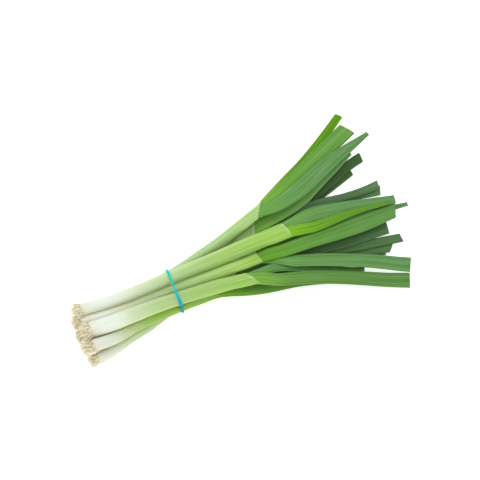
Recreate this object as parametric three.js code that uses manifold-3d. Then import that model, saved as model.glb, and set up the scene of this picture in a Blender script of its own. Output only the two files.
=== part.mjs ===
// A bunch of spring onions held by a rubber band, lying on a flat surface.
//
// Units are millimetres and +Z is up. The driving places are measured from the
// root end: x runs along the bunch towards the leaf tips, y goes sideways, and
// z = 0 is the surface. The finished group is shifted so that its origin is in
// the middle of its footprint.
//
// Every stem and leaf is a run of oval sections that stand across x. The
// pieces are laid one after the other, as by hand: each keeps the height that
// it would have on its own, and is lifted smoothly where it meets a piece that
// was laid before it.
import * as THREE from "three";
import { mergeVertices } from "three/addons/utils/BufferGeometryUtils.js";
import Module from "manifold-3d";

const wasm = await Module();
wasm.setup();

// ---------------------------------------------------------------- dimensions
const GAP = 0.3; // clearance between neighbouring pieces
const FLAT = 0.4; // how far a piece that lies on the surface is flattened under itself
const STATION = 12.5; // distance between the sections of a stem or leaf
const SHANK_SIDES = 12;
const LEAF_SIDES = 10;
const LEAF_WALL = 0.9; // wall of the hollow leaf at its cut end
const CUT_DEPTH = 9; // how deep the hollow shows at a cut end
const LEAF_MARKS = [0, 0.35, 0.7, 1]; // places along a leaf where its sizes are given
const LIE_STEP = 2; // distance between the places where two pieces are kept apart
const STEM_SETTLE = 0.08; // how quickly a lifted stem comes back to its own height
const LEAF_SETTLE = 0.016; // the same for a leaf, which is more springy

const BAND = {
  x: 100, // where it crosses the middle of the bunch
  width: 3,
  thickness: 1.1,
  leanSide: 0.11, // x gained per mm sideways
  leanUp: -0.13, // x gained per mm upwards
  middleUp: 20, // height at which it crosses at x
  arcPoints: 40, // points round each stem that it is laid over
  closest: 0.7, // smallest distance between two corners of its loop
  floorGap: 0.25, // how far it stays off the surface
  liftRun: 40, // length over which the lowest stems rise to pass over it
};

const ROOTS = {
  plateDepth: 4.2, // basal plate and the matted core of the roots
  coreSides: 8,
  count: 18,
  sides: 4,
  thick: 1.15,
  thin: 0.75,
  start: 1.6, // how far behind the stem's end a root leaves the plate
  turn: 2.4, // radians between one root and the next, the golden angle
  flare: 0.3, // how much further out a root's tip may stand than its base
};

const COLOURS = {
  shank: 0xd3e2b4,
  light: 0x7ab340,
  mid: 0x5f9a4e,
  blue: 0x67946a,
  dark: 0x44613a,
  root: 0xd6bf93,
  band: 0x12aac6,
};

// The stems: roots gives the shortest and longest root, path [x, y] of the axis,
// width and height its half-width and half-height along x, and rest its own
// height [x, z] before it is laid.
// The leaves: from names the stem that it grows out of, up and side where in
// the stem's mouth it starts, path the [x, y] points that it runs through, half
// its half-width and thick its half-thickness at the LEAF_MARKS (half has three
// values where the leaf needs none at the third mark), tip the height of its
// end, roll how far it is turned about its length at base and tip in degrees,
// and cut how far its cut end is off square in degrees.
// Each piece lies on the pieces above it in this list.
const PIECES = [
  {
    stem: 1,
    roots: [5, 8],
    path: [[0, -29.8], [14, -28.6], [26, -25.8], [40, -22.2], [60, -18.9], [100, -10], [150, -15]],
    width: [[0, 5.8], [150, 6]],
    height: [[0, 5.8], [150, 5.4]],
    rest: [[0, 5], [150, 5]],
  },
  {
    leaf: 1, from: 1, up: -2.2, side: -1, tone: "dark",
    path: [[230, -24], [280, -33], [313, -44.5]],
    half: [4.6, 3.6, 2.2], thick: [1.7, 1.5, 1.2], tip: 1, roll: [0, 0], cut: 12,
  },
  {
    leaf: 2, from: 1, up: 1.9, side: 0.5, tone: "blue",
    path: [[230, -21], [271, -29.4], [320, -43.6]],
    half: [4.8, 5, 4], thick: [1.8, 1.7, 1.5], tip: 3, roll: [0, 8], cut: -30,
  },
  {
    stem: 2,
    roots: [5, 9],
    path: [[0, -13.5], [50, -9], [100, 2.8], [165, -3]],
    width: [[0, 5.8], [165, 6.2]],
    height: [[0, 5.8], [165, 5.6]],
    rest: [[0, 5], [165, 5]],
  },
  {
    leaf: 1, from: 2, up: -2.2, side: -1, tone: "dark",
    path: [[243, -15.2], [272, -24.4], [334, -38.4]],
    half: [4.8, 5.4, 4.8], thick: [1.8, 1.7, 1.5], tip: 3, roll: [0, 4], cut: 13,
  },
  {
    leaf: 2, from: 2, up: 2, side: 1, tone: "dark",
    path: [[234, -11.6], [265, -17.6], [326, -23.4]],
    half: [5, 7, 6.8], thick: [1.8, 1.7, 1.5], tip: 7, roll: [0, 4], cut: -6,
  },
  {
    stem: 3,
    roots: [5, 8],
    path: [[0, 1], [50, 6], [100, 15.6], [150, 22.2], [201, 29.8]],
    width: [[0, 5.8], [150, 6.2], [201, 7]],
    height: [[0, 5.8], [201, 5.4]],
    rest: [[0, 5], [150, 6], [201, 10.5]],
  },
  {
    leaf: 1, from: 3, up: -3.4, side: -2.5, tone: "dark",
    path: [[225, 30.6], [256, 33.8], [282, 41.4], [324, 53.6]],
    half: [3.4, 3.9, 2.9], thick: [1.2, 1.3, 1.2], tip: 2, roll: [0, 0], cut: -12,
  },
  {
    leaf: 2, from: 3, up: -1, side: 2, tone: "dark",
    path: [[228, 36], [255, 38], [298, 51], [320, 60], [340, 64.5]],
    half: [4.4, 5, 4.9], thick: [1.2, 1.5, 1.4], tip: 3, roll: [0, 6], cut: -17,
  },
  {
    leaf: 3, from: 3, up: 1.3, side: -1, tone: "blue",
    path: [[225, 31], [256, 33.5], [300, 28.5], [340, 21]],
    half: [4.2, 4.4, 4.6], thick: [1.2, 1.5, 1.4], tip: 4, roll: [0, 14], cut: -13,
  },
  {
    leaf: 4, from: 3, up: 2.4, side: -0.5, tone: "blue",
    path: [[225, 30], [262, 32], [298, 27.8], [322, 25.6], [340, 25.8]],
    half: [4, 3.4, 3.5, 4.3], thick: [1.2, 1.5, 1.4], tip: 8, roll: [0, 14], cut: -8,
  },
  {
    leaf: 5, from: 3, up: 3.9, side: 0.8, tone: "mid",
    path: [[221, 31.2], [257, 37.4], [286, 50.6], [330, 69]],
    half: [6.6, 6.3, 4.6, 1.8], thick: [1.2, 1.6, 1.2], tip: 9, roll: [0, 8], cut: 0,
  },
  {
    stem: 4,
    roots: [4, 7],
    path: [[2, 15], [43, 22.6], [82, 16.8], [106, 17.8], [141, 25], [178, 32.6], [213, 41.8]],
    width: [[2, 4.5], [100, 4.8], [178, 6], [213, 7.2]],
    height: [[2, 4.5], [100, 4.8], [213, 6]],
    rest: [[2, 5], [50, 8], [100, 16], [213, 20]],
  },
  {
    leaf: 1, from: 4, up: -3.6, side: 3, tone: "blue",
    path: [[226, 52], [256, 70], [284, 87.5]],
    half: [3, 2.7, 1.3], thick: [1.2, 1.2, 0.9], tip: 6, roll: [0, 0], cut: 0,
  },
  {
    leaf: 2, from: 4, up: -1.2, side: 2.4, tone: "light",
    path: [[226, 50.4], [256, 65.4], [285, 80.8], [340, 115.6]],
    half: [4, 4.5, 4.1], thick: [1.2, 2, 1.8], tip: 8, roll: [0, 0], cut: 4,
  },
  {
    leaf: 3, from: 4, up: 1.3, side: 0.8, tone: "light",
    path: [[250, 54.4], [302, 80], [340, 96.4]],
    half: [4.8, 6.8, 9.2], thick: [1.3, 1.8, 1.6], tip: 10, roll: [0, -6], cut: 5,
  },
  {
    leaf: 4, from: 4, up: 3.6, side: -2.6, tone: "blue",
    path: [[230, 37.6], [262, 46], [291, 58.6], [318, 69], [355, 80]],
    half: [5.6, 8.4, 6.4, 2.2], thick: [1.4, 2, 1.3], tip: 16, roll: [0, 10], cut: 0,
  },
  {
    stem: 5,
    roots: [8, 12],
    path: [[0, -21], [22, -22.4], [38, -20.8], [55, -18.8], [100, -17.6], [136, -18.6]],
    width: [[0, 6.6], [22, 6.4], [50, 5.7], [136, 6.4]],
    height: [[0, 6.4], [50, 5.7], [136, 5.6]],
    rest: [[0, 12.5], [50, 15], [136, 13]],
  },
  {
    leaf: 1, from: 5, up: 0, side: -0.5, tone: "mid",
    path: [[160, -27], [183, -32.8], [221, -39], [258, -51.4], [290, -67.5]],
    half: [6, 7.6, 5], thick: [2.4, 2, 1.6], tip: 2, roll: [0, 0], cut: 0,
  },
  {
    stem: 6,
    roots: [4, 7],
    path: [[0, 11], [25, 6.2], [50, 3.7], [100, 2.2], [150, -1.6], [191, -4]],
    width: [[0, 6.6], [25, 6], [40, 5.8], [100, 5.8], [191, 6.8]],
    height: [[0, 6], [100, 5.6], [191, 5.8]],
    rest: [[0, 13], [50, 16], [100, 18], [191, 22]],
  },
  {
    leaf: 1, from: 6, up: -3.2, side: 3.9, tone: "blue",
    path: [[220, 2], [250, 3.4], [300, 0.6], [356, -7.8]],
    half: [4.9, 5.8, 4.7, 2.2], thick: [1.2, 1.4, 1.2], tip: 10, roll: [0, 0], cut: 0,
  },
  {
    stem: 7,
    roots: [5, 7],
    path: [[5, 17.4], [30, 12.9], [55, 9.8], [80, 9.2], [105, 9.6], [150, 9.2], [228, 8.4]],
    width: [[5, 6.6], [30, 6.2], [100, 6.8], [160, 8], [228, 9.2]],
    height: [[5, 5.8], [100, 6.5], [160, 6.6], [228, 6.4]],
    rest: [[5, 9], [30, 12], [55, 16], [80, 23], [100, 26], [228, 27]],
  },
  {
    stem: 8,
    roots: [7, 11],
    path: [[4, -5], [26, -9.6], [50, -12.2], [100, -15.6], [150, -21.4], [174, -25.5]],
    width: [[4, 8], [24, 8.5], [46, 8.2], [70, 7.4], [100, 6.9], [174, 7.8]],
    height: [[4, 7.4], [46, 7.4], [100, 6.6], [174, 6]],
    rest: [[4, 17], [50, 23], [100, 26], [174, 26]],
  },
  {
    leaf: 1, from: 8, up: -2, side: 3, tone: "blue",
    path: [[201, -22.6], [234, -34.2], [284, -56.2]],
    half: [4.6, 4.6, 2.1], thick: [1.8, 1.4, 1.1], tip: 9, roll: [0, 0], cut: 0,
  },
  {
    leaf: 2, from: 6, up: -0.4, side: -2.4, tone: "mid",
    path: [[217, -22.5], [255, -37], [291, -52.2], [327, -73]],
    half: [4.6, 7, 8], thick: [1.4, 1.9, 1.7], tip: 10, roll: [0, 0], cut: 0,
  },
  {
    leaf: 3, from: 6, up: 2.6, side: -2.2, tone: "mid",
    path: [[218, -11.4], [244, -12.4], [289, -12.8], [340, -12.6]],
    half: [6, 7.9, 9.8, 8.4], thick: [1.6, 2.1, 1.7], tip: 18, roll: [0, 0], cut: -24,
  },
  {
    leaf: 2, from: 8, up: 2, side: -2.5, tone: "mid",
    path: [[196, -39], [227, -48], [265, -62], [319, -87.5]],
    half: [6.2, 7.4, 8.1], thick: [2.4, 2, 1.7], tip: 9, roll: [0, 0], cut: 0,
  },
  {
    leaf: 1, from: 7, up: -1.6, side: 3.6, tone: "mid",
    path: [[258, 14.6], [282, 11.6], [301, 8.2], [344, -3]],
    half: [6.2, 7.8, 5.8, 4.4], thick: [2, 1.8, 1.5], tip: 16, roll: [0, 0], cut: 4,
  },
  {
    leaf: 2, from: 7, up: 1.8, side: -4.2, tone: "light",
    path: [[252, -0.6], [296, -0.4], [318, -2], [337, -5.8]],
    half: [5.8, 5, 1.4], thick: [2.6, 2, 0.9], tip: 20, roll: [0, 0], cut: 0,
  },
];

// ------------------------------------------------------------- small helpers
const radians = THREE.MathUtils.degToRad;
const SQUARE = { lean: 0, slope: 0 };

/** Seeded random numbers from 0 to 1. */
function seeded(seed) {
  let state = seed;
  return () => {
    state = (state + 0x6d2b79f5) | 0;
    let mixed = Math.imul(state ^ (state >>> 15), 1 | state);
    mixed = (mixed + Math.imul(mixed ^ (mixed >>> 7), 61 | mixed)) ^ mixed;
    return ((mixed ^ (mixed >>> 14)) >>> 0) / 4294967296;
  };
}

/** Smooth curve through [x, value] points, straight beyond its ends. */
function curveThrough(points, firstSlope = null) {
  const last = points.length - 1;
  const slopes = points.map((point, index) => {
    if (index === 0 && firstSlope !== null) return firstSlope;
    const before = points[Math.max(index - 1, 0)];
    const after = points[Math.min(index + 1, last)];
    return (after[1] - before[1]) / (after[0] - before[0]);
  });
  function at(x) {
    if (x <= points[0][0]) return points[0][1] + slopes[0] * (x - points[0][0]);
    if (x >= points[last][0]) return points[last][1] + slopes[last] * (x - points[last][0]);
    const i = points.findIndex((point) => point[0] > x) - 1;
    const run = points[i + 1][0] - points[i][0];
    const t = (x - points[i][0]) / run;
    const rise = points[i + 1][1] - points[i][1];
    const bend = slopes[i] * run * t * (1 - t) * (1 - t) - slopes[i + 1] * run * t * t * (1 - t);
    return points[i][1] + rise * t * t * (3 - 2 * t) + bend;
  }
  const slope = (x) => (at(x + 0.5) - at(x - 0.5));
  return { at, slope };
}

/** Closed mesh geometry from a list of points and a list of corner numbers. */
function geometryFrom(points, corners) {
  const geometry = new THREE.BufferGeometry();
  const numbers = points.flatMap((point) => [point.x, point.y, point.z]);
  geometry.setAttribute("position", new THREE.Float32BufferAttribute(numbers, 3));
  geometry.setIndex(corners);
  return geometry;
}

/** Skin through rings of points, closed at both ends. All rings turn from +y to +z. */
function loft(rings) {
  const sides = rings[0].length;
  const corners = [];
  for (let ring = 0; ring + 1 < rings.length; ring += 1) {
    for (let k = 0; k < sides; k += 1) {
      const next = (k + 1) % sides;
      const a = ring * sides + k;
      const b = ring * sides + next;
      corners.push(a, b, a + sides, a + sides, b, b + sides);
    }
  }
  const end = (rings.length - 1) * sides;
  for (let k = 1; k + 1 < sides; k += 1) {
    corners.push(0, k + 1, k);
    corners.push(end, end + k, end + k + 1);
  }
  return geometryFrom(rings.flat(), corners);
}

function solidFrom(geometry) {
  const bare = geometry.clone();
  bare.deleteAttribute("normal");
  bare.deleteAttribute("uv");
  const merged = mergeVertices(bare, 1e-4);
  const vertProperties = new Float32Array(merged.attributes.position.array);
  const triVerts = new Uint32Array(merged.index.array);
  return new wasm.Manifold(new wasm.Mesh({ numProp: 3, vertProperties, triVerts }));
}

function geometryOf(solid) {
  const mesh = solid.getMesh();
  const geometry = new THREE.BufferGeometry();
  geometry.setAttribute("position", new THREE.BufferAttribute(mesh.vertProperties, 3));
  geometry.setIndex(new THREE.BufferAttribute(mesh.triVerts, 1));
  return geometry;
}

// ------------------------------------------------------ sections of a piece
/** Half-height of a turned oval. */
function reach(section) {
  return Math.hypot(section.w * Math.sin(section.roll), section.t * Math.cos(section.roll));
}

/** Half-width of a turned oval, measured along y. */
function spread(section) {
  const w = section.w + GAP / 2;
  const t = section.t + GAP / 2;
  return Math.hypot(w * Math.cos(section.roll), t * Math.sin(section.roll)) / section.square;
}

/** Lower and upper height of a section's skin, grown by half the gap, at sideways place y. */
function skinAt(section, y) {
  const w = section.w + GAP / 2;
  const t = section.t + GAP / 2;
  const sin = Math.sin(section.roll);
  const cos = Math.cos(section.roll);
  const across = (y - section.y) * section.square;
  const wide = w * w * cos * cos + t * t * sin * sin;
  const middle = section.z + (across * (w * w - t * t) * sin * cos) / wide;
  const half = (w * t * Math.sqrt(Math.max(0, wide - across * across))) / wide;
  return [middle - half, middle + half];
}

/** Section at any x, between the piece's stations. */
function sectionAt(piece, x) {
  const place = (x - piece.start) / piece.step;
  const i = Math.min(Math.max(Math.floor(place), 0), piece.sections.length - 2);
  const t = place - i;
  const a = piece.sections[i];
  const b = piece.sections[i + 1];
  const mix = (key) => a[key] + (b[key] - a[key]) * t;
  return {
    y: mix("y"), z: mix("z"), w: mix("w"), t: mix("t"), roll: mix("roll"), square: mix("square"),
  };
}

/** Height that the surface asks of a stem: the band needs room under it. */
function floorAt(x, isStem) {
  const near = Math.max(0, 1 - Math.abs(x - BAND.x) / BAND.liftRun);
  const room = BAND.thickness + BAND.floorGap + GAP;
  return isStem ? (room + FLAT) * near * near * (3 - 2 * near) : 0;
}

/** How far a section has to rise to clear the surface and every laid piece. */
function liftNeeded(section, x, laid, isStem, parent) {
  let lift = floorAt(x, isStem) - FLAT - (section.z - reach(section));
  for (const other of laid) {
    if (other.name === parent) continue;
    if (x < other.from - STATION / 4 || x > other.to + STATION / 4) continue;
    const under = sectionAt(other, x);
    const left = Math.max(section.y - spread(section), under.y - spread(under));
    const right = Math.min(section.y + spread(section), under.y + spread(under));
    if (left >= right) continue;
    for (let k = 0; k <= 10; k += 1) {
      const y = left + ((right - left) * k) / 10;
      lift = Math.max(lift, skinAt(under, y)[1] - skinAt(section, y)[0]);
    }
  }
  return lift;
}

/** Smoothest rise that is nowhere less than the needed one. The first `held` stations stay. */
function smoothRise(needed, held, settle) {
  const count = needed.length;
  const rise = needed.map((value) => Math.max(0, value));
  const get = (index) => rise[Math.min(Math.max(index, 0), count - 1)];
  for (let round = 0; round < 3000; round += 1) {
    for (let i = 0; i < count; i += 1) {
      if (i < held) continue;
      const near = get(i - 1) + get(i + 1);
      const far = get(i - 2) + get(i + 2);
      const smooth = (4 * near - far) / (6 + settle);
      rise[i] = Math.max(needed[i], rise[i] + 0.9 * (smooth - rise[i]));
    }
  }
  return rise;
}

/** Lifts a piece until it clears the pieces laid before it, and adds it to them. */
function lay(piece, laid) {
  const own = piece.sections.map((section) => section.z);
  const needed = piece.sections.map((section, index) => {
    const x = piece.start + index * piece.step;
    return Math.max(0, liftNeeded(section, x, laid, piece.isStem, piece.parent));
  });
  for (let pass = 0; pass < 8; pass += 1) {
    const rise = smoothRise(needed, piece.held, piece.settle);
    piece.sections.forEach((section, index) => {
      section.z = own[index] + rise[index];
    });
    for (let x = piece.from; x <= piece.to; x += LIE_STEP) {
      const short = liftNeeded(sectionAt(piece, x), x, laid, piece.isStem, piece.parent);
      if (short <= 0) continue;
      const i = Math.min(Math.max(Math.floor((x - piece.start) / piece.step), 0), needed.length - 2);
      needed[i] = Math.max(needed[i], rise[i] + short);
      needed[i + 1] = Math.max(needed[i + 1], rise[i + 1] + short);
    }
  }
  laid.push(piece);
}

/** Points of a section, square to x, or on a plane that leans by the cut. */
function ringAt(x, section, sides, turn, cut, inset) {
  const ring = [];
  for (let k = 0; k < sides; k += 1) {
    const angle = ((k + turn) / sides) * 2 * Math.PI;
    const w = (section.w - inset) * Math.cos(angle);
    const t = (section.t - inset) * Math.sin(angle);
    const across = (w * Math.cos(section.roll) - t * Math.sin(section.roll)) / section.square;
    const up = w * Math.sin(section.roll) + t * Math.cos(section.roll);
    const along = (-cut.lean * across) / (1 + cut.lean * cut.slope);
    const y = section.y + across + cut.slope * along;
    ring.push(new THREE.Vector3(x + along, y, Math.max(0, section.z + up)));
  }
  return ring;
}

// -------------------------------------------------------------------- pieces
/** Stations of a stem, from its root plate to its mouth. */
function planStem(data) {
  const path = curveThrough(data.path);
  const width = curveThrough(data.width);
  const height = curveThrough(data.height);
  const rest = curveThrough(data.rest);
  const start = data.path[0][0];
  const end = data.path[data.path.length - 1][0];
  const count = Math.round((end - start) / STATION);
  const step = (end - start) / count;
  const sections = [];
  for (let i = 0; i <= count; i += 1) {
    const x = start + i * step;
    const square = Math.cos(Math.atan(path.slope(x)));
    sections.push({ y: path.at(x), z: rest.at(x), w: width.at(x), t: height.at(x), roll: 0, square });
  }
  return {
    name: `onion_${data.stem}_shank`, tone: "shank", isStem: true, held: 0, settle: STEM_SETTLE,
    roots: data.roots, start, step, sections, from: start, to: end, path,
  };
}

/** Stations of a leaf, from the mouth of its stem to its cut tip. */
function planLeaf(data, stem) {
  const mouth = stem.sections[stem.sections.length - 1];
  const start = stem.to + GAP;
  const base = [start, mouth.y + data.side];
  const path = curveThrough([base, ...data.path], stem.path.slope(stem.to));
  const end = data.path[data.path.length - 1][0];
  const alongLeaf = (values) => {
    const full = values.length === LEAF_MARKS.length;
    const marks = full ? LEAF_MARKS : [LEAF_MARKS[0], LEAF_MARKS[1], LEAF_MARKS[3]];
    return curveThrough(values.map((value, index) => [start + (end - start) * marks[index], value]));
  };
  const half = alongLeaf(data.half);
  const thick = alongLeaf(data.thick);
  const before = stem.sections[stem.sections.length - 2];
  const climb = (mouth.z - before.z) / stem.step;
  const baseZ = mouth.z + data.up;
  const count = Math.round((end - start) / STATION);
  const step = (end - start) / count;
  const sections = [];
  for (let i = 0; i <= count; i += 1) {
    const x = start + i * step;
    const t = i / count;
    const square = Math.cos(Math.atan(path.slope(x)));
    const fall = (data.tip - baseZ) * t * t * (3 - 2 * t);
    const z = baseZ + fall + climb * (end - start) * t * (1 - t) ** 3;
    const roll = radians(data.roll[0] + (data.roll[1] - data.roll[0]) * t);
    sections.push({ y: path.at(x), z, w: half.at(x), t: thick.at(x), roll, square });
  }
  const tip = sections[count];
  const slope = path.slope(end);
  const lean = Math.tan(Math.atan(slope) + radians(data.cut));
  const overhang = (Math.abs(lean) * spread(tip)) / (1 + lean * slope);
  return {
    name: `onion_${data.from}_leaf_${data.leaf}`, parent: stem.name, tone: data.tone, isStem: false, held: 1,
    settle: LEAF_SETTLE, start, step, sections, from: start, to: end + overhang,
    cut: { lean, slope }, overhang,
  };
}

/** Solid stem with square ends; a flat side faces down. */
function stemGeometry(piece) {
  const rings = piece.sections.map((section, index) => {
    return ringAt(piece.start + index * piece.step, section, SHANK_SIDES, 0.5, SQUARE, 0);
  });
  return loft(rings);
}

/** Leaf with a cut tip that shows its hollow inside. */
function leafGeometry(piece) {
  const last = piece.sections.length - 1;
  const end = piece.start + last * piece.step;
  const tip = piece.sections[last];
  const rings = [];
  piece.sections.forEach((section, index) => {
    const x = piece.start + index * piece.step;
    if (index < last && x < end - piece.overhang - 2) {
      rings.push(ringAt(x, section, LEAF_SIDES, 0, SQUARE, 0));
    }
  });
  rings.push(ringAt(end, tip, LEAF_SIDES, 0, piece.cut, 0));
  rings.push(ringAt(end, tip, LEAF_SIDES, 0, piece.cut, Math.min(LEAF_WALL, tip.t * 0.5)));
  const floorX = end - piece.overhang - CUT_DEPTH;
  rings.push(ringAt(floorX, sectionAt(piece, floorX), LEAF_SIDES, 0, SQUARE, LEAF_WALL));
  return loft(rings);
}

/** Basal plate with a brush of short trimmed roots, fused into one body. */
function rootGeometry(piece, seed) {
  const random = seeded(seed);
  const section = piece.sections[0];
  const slope = piece.path.slope(piece.start);
  const [shortest, longest] = piece.roots;
  const ringBehind = (depth, out, angle, radius, sides, turn) => {
    const y = section.y - slope * depth + out * section.w * Math.cos(angle);
    const z = section.z + out * section.t * Math.sin(angle);
    const oval = { y, z, w: radius * section.w, t: radius * section.t, roll: 0, square: 1 };
    return ringAt(piece.start - depth, oval, sides, turn, SQUARE, 0);
  };
  const core = [[ROOTS.plateDepth + GAP, 0.6], [ROOTS.plateDepth / 2, 0.92], [GAP, 0.84]];
  const coreRings = core.map(([depth, radius]) => ringBehind(depth, 0, 0, radius, ROOTS.coreSides, 0.5));
  let solid = solidFrom(loft(coreRings));
  for (let k = 0; k < ROOTS.count; k += 1) {
    const angle = k * ROOTS.turn + random() * 0.5;
    const out = 0.86 * Math.sqrt((k + 0.5) / ROOTS.count);
    const length = shortest + (longest - shortest) * random();
    const flare = ROOTS.flare * random();
    const swing = (random() - 0.5) * 0.7;
    const turn = random();
    const rings = [1, 0.5, 0].map((along) => {
      const depth = ROOTS.start + length * along;
      const radius = (ROOTS.thick + (ROOTS.thin - ROOTS.thick) * along) / section.w;
      const bent = angle + swing * along * along;
      return ringBehind(depth, out * (1 + flare * along) - radius, bent, radius, ROOTS.sides, turn);
    });
    solid = solid.add(solidFrom(loft(rings)));
  }
  return geometryOf(solid);
}

/** Corners of the smallest loop that goes round all points, turning from +y to +z. */
function loopRound(points) {
  const sorted = [...points].sort((a, b) => a.x - b.x || a.y - b.y);
  const chain = (list) => {
    const kept = [];
    for (const point of list) {
      while (kept.length > 1) {
        const side = kept[kept.length - 1].clone().sub(kept[kept.length - 2]);
        if (side.cross(point.clone().sub(kept[kept.length - 2])) > 0) break;
        kept.pop();
      }
      kept.push(point);
    }
    return kept.slice(0, -1);
  };
  return [...chain(sorted), ...chain(sorted.reverse())];
}

/** Flat rubber band stretched round the stems. Points of its loop are (y, z). */
function bandGeometry(stems) {
  const planeAt = (y, z) => BAND.x + BAND.leanSide * y + BAND.leanUp * (z - BAND.middleUp);
  const skins = [];
  for (const stem of stems) {
    const rough = sectionAt(stem, BAND.x);
    for (const shift of [-0.9, -0.3, 0.3, 0.9]) {
      const section = sectionAt(stem, planeAt(rough.y, rough.z) + shift * BAND.width);
      for (let k = 0; k < BAND.arcPoints; k += 1) {
        const angle = (k / BAND.arcPoints) * 2 * Math.PI;
        const across = (section.w / section.square + GAP) * Math.cos(angle);
        skins.push(new THREE.Vector2(section.y + across, section.z + (section.t + GAP) * Math.sin(angle)));
      }
    }
  }
  const loop = loopRound(skins).filter((point, index, all) => {
    return index === 0 || point.distanceTo(all[index - 1]) > BAND.closest;
  });
  const rings = loop.map((point, index) => {
    const before = loop[(index + loop.length - 1) % loop.length];
    const after = loop[(index + 1) % loop.length];
    const onward = point.clone().sub(before).normalize().add(after.clone().sub(point).normalize());
    const outward = new THREE.Vector2(onward.y, -onward.x).normalize();
    return [[-0.5, 0], [0.5, 0], [0.5, 1], [-0.5, 1]].map(([across, out]) => {
      const edge = point.clone().addScaledVector(outward, out * BAND.thickness);
      return new THREE.Vector3(planeAt(edge.x, edge.y) + across * BAND.width, edge.x, edge.y);
    });
  });
  const corners = [];
  for (let ring = 0; ring < rings.length; ring += 1) {
    const after = (ring + 1) % rings.length;
    for (let k = 0; k < 4; k += 1) {
      const next = (k + 1) % 4;
      const a = ring * 4 + k;
      const b = ring * 4 + next;
      const c = after * 4 + k;
      const d = after * 4 + next;
      corners.push(a, b, c, c, b, d);
    }
  }
  return geometryFrom(rings.flat(), corners);
}

// ------------------------------------------------------------------ assembly
function material(tone) {
  const roughness = { root: 0.85, band: 0.5, shank: 0.35 }[tone] ?? 0.45;
  return new THREE.MeshStandardMaterial({ color: COLOURS[tone], roughness, metalness: 0 });
}

function named(name, tone, geometry) {
  const mesh = new THREE.Mesh(geometry, material(tone));
  mesh.name = name;
  return mesh;
}

const laid = [];
const stems = new Map();
for (const data of PIECES) {
  const piece = data.stem ? planStem(data) : planLeaf(data, stems.get(data.from));
  lay(piece, laid);
  if (data.stem) stems.set(data.stem, piece);
}

const bunch = new THREE.Group();
for (const piece of laid) {
  const geometry = piece.isStem ? stemGeometry(piece) : leafGeometry(piece);
  bunch.add(named(piece.name, piece.tone, geometry));
}
for (const [number, stem] of stems) {
  bunch.add(named(`onion_${number}_roots`, "root", rootGeometry(stem, 40 + number)));
}
bunch.add(named("rubber_band", "band", bandGeometry([...stems.values()])));

const box = new THREE.Box3().setFromObject(bunch, true);
const footprint = box.getCenter(new THREE.Vector3());
bunch.position.set(-footprint.x, -footprint.y, -box.min.z);

const whole = new THREE.Group();
whole.add(bunch);

export default whole;
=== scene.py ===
"""A bunch of eight spring onions held by a rubber band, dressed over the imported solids.

Lengths are metres in the bunch's own frame. The roots point to -X, the leaf tips to +X, +Z is up.
"""

from __future__ import annotations

import logging
import math
from collections.abc import Callable, Mapping, Sequence
from dataclasses import dataclass, field
from enum import Enum
from functools import cache
from random import Random

import bmesh
import bpy
import numpy as np
from bmesh.types import BMEdge, BMFace, BMVert
from bpy.types import Material, Node, NodeSocket, Object
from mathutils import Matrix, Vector


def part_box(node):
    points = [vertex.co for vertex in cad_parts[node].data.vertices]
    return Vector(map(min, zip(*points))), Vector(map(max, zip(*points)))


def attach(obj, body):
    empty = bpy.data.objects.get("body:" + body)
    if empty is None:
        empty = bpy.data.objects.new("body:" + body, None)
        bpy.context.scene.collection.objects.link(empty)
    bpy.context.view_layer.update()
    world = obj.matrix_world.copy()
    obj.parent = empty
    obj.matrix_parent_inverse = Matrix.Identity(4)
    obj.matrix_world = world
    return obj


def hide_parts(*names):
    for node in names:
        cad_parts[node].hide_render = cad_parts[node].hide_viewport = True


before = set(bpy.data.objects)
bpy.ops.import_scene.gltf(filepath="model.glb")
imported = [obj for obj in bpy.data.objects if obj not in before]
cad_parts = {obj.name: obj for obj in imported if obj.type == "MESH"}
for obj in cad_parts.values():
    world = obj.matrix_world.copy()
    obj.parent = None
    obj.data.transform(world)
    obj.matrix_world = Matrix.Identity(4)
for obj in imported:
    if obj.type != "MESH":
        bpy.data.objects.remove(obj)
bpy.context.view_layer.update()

MM = 0.001
BODY = "root"
GRAIN, HOLLOW, LIP, UP = "grain", "hollow", "lip", "up"
LIGHT = 1.1
NEAR = 5e-6
FULL_TURN = 2.0 * math.pi
LOG = logging.getLogger("spring_onions")

Colour = tuple[int, int, int]
Pair = tuple[float, float]


class Slot(Enum):
    """The record's material slots."""

    SHANK = "shank_skin"
    LIGHT = "leaf_light"
    MID = "leaf_mid"
    BLUE = "leaf_blue"
    DARK = "leaf_dark"
    ROOT = "root_hair"
    RUBBER = "rubber_band"


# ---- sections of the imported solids


def around(count: int) -> list[float]:
    """Even turns round a ring, in radians."""
    return [FULL_TURN * i / count for i in range(count)]


def grain_of(sides: int, seed: int, share: float) -> list[Vector]:
    """The grain round a ring: across, up (set apart by the seed) and along."""
    return [Vector((math.cos(t), math.sin(t) + 3.0 * seed, share)) for t in around(sides)]


@dataclass(frozen=True)
class Section:
    """An oval section square to X: its centre and the matrix that makes it from a unit circle."""

    x: float
    centre: np.ndarray
    spread: np.ndarray

    def point(self, angle: float, grow: float = 1.0) -> np.ndarray:
        """The outline's (y, z) at an angle, with the section scaled by grow."""
        return self.centre + grow * (self.spread @ np.array([math.cos(angle), math.sin(angle)]))

    def ring(
        self, sides: int, x: float, grow: Callable[[float], float], above: float
    ) -> list[Vector]:
        """Points round the section at x, scaled by grow at each turn and kept above a height."""
        places = [self.point(turn, grow(turn)) for turn in around(sides)]
        return [Vector((x, y, max(z, above))) for y, z in places]


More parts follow.
